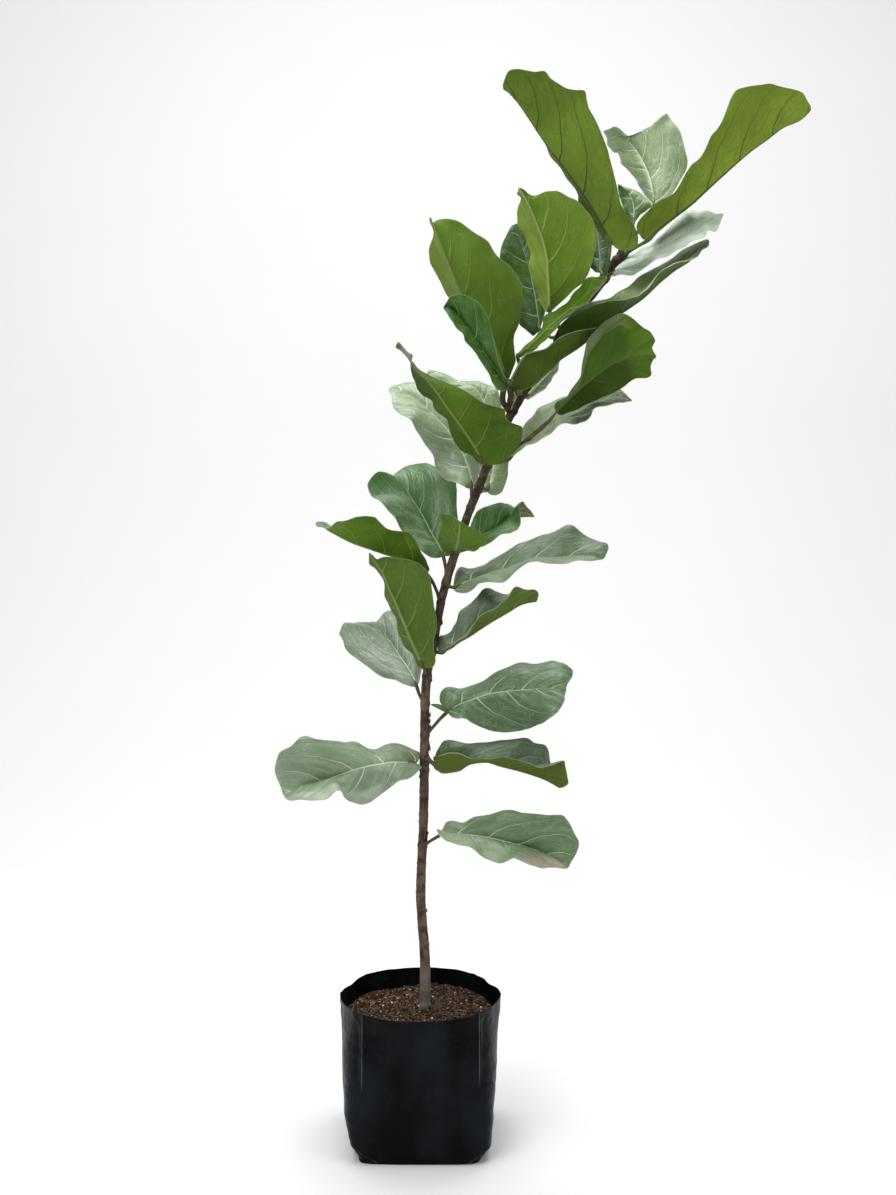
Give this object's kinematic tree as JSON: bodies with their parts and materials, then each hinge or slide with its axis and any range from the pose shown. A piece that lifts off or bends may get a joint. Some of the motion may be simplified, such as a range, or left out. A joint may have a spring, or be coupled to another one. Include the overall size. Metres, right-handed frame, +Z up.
{
  "type": "potted fiddle leaf fig",
  "caption": "Tall leaning fiddle leaf fig with large lyre-shaped leathery leaves, rooted in potting mix in a black gusseted film grow bag.",
  "frame": {"origin": "centre of the bag's underside, on the surface it stands on", "axes": "+Z up along the plant, -Y the bag's front, +X the side the stem leans to"},
  "size_m": [0.862, 0.339, 1.7949],
  "materials": {
    "bag_film": "black polythene film with a satin sheen",
    "potting_mix": "coarse moist composted bark and coir with white perlite",
    "bark": "grey-brown bark, rough at the leaf scars",
    "leaf_blade": "leathery two-sided leaf: grey-green upper side, yellower green underside, pale veins"
  },
  "bodies": {
    "root": {"grow_bag": "bag_film", "potting_mix": "potting_mix", "stem_and_roots": "bark", "leaf_01": "leaf_blade", "leaf_02": "leaf_blade", "leaf_03": "leaf_blade", "leaf_04": "leaf_blade", "leaf_05": "leaf_blade", "leaf_06": "leaf_blade", "leaf_07": "leaf_blade", "leaf_08": "leaf_blade", "leaf_09": "leaf_blade", "leaf_10": "leaf_blade", "leaf_11": "leaf_blade", "leaf_12": "leaf_blade", "leaf_13": "leaf_blade", "leaf_14": "leaf_blade", "leaf_15": "leaf_blade", "leaf_16": "leaf_blade", "leaf_17": "leaf_blade", "leaf_18": "leaf_blade", "leaf_19": "leaf_blade", "leaf_20": "leaf_blade", "leaf_21": "leaf_blade", "leaf_22": "leaf_blade", "leaf_23": "leaf_blade", "leaf_24": "leaf_blade", "leaf_25": "leaf_blade", "leaf_26": "leaf_blade", "leaf_27": "leaf_blade", "leaf_28": "leaf_blade", "leaf_29": "leaf_blade", "leaf_30": "leaf_blade", "leaf_31": "leaf_blade"}
  },
  "joints": []
}
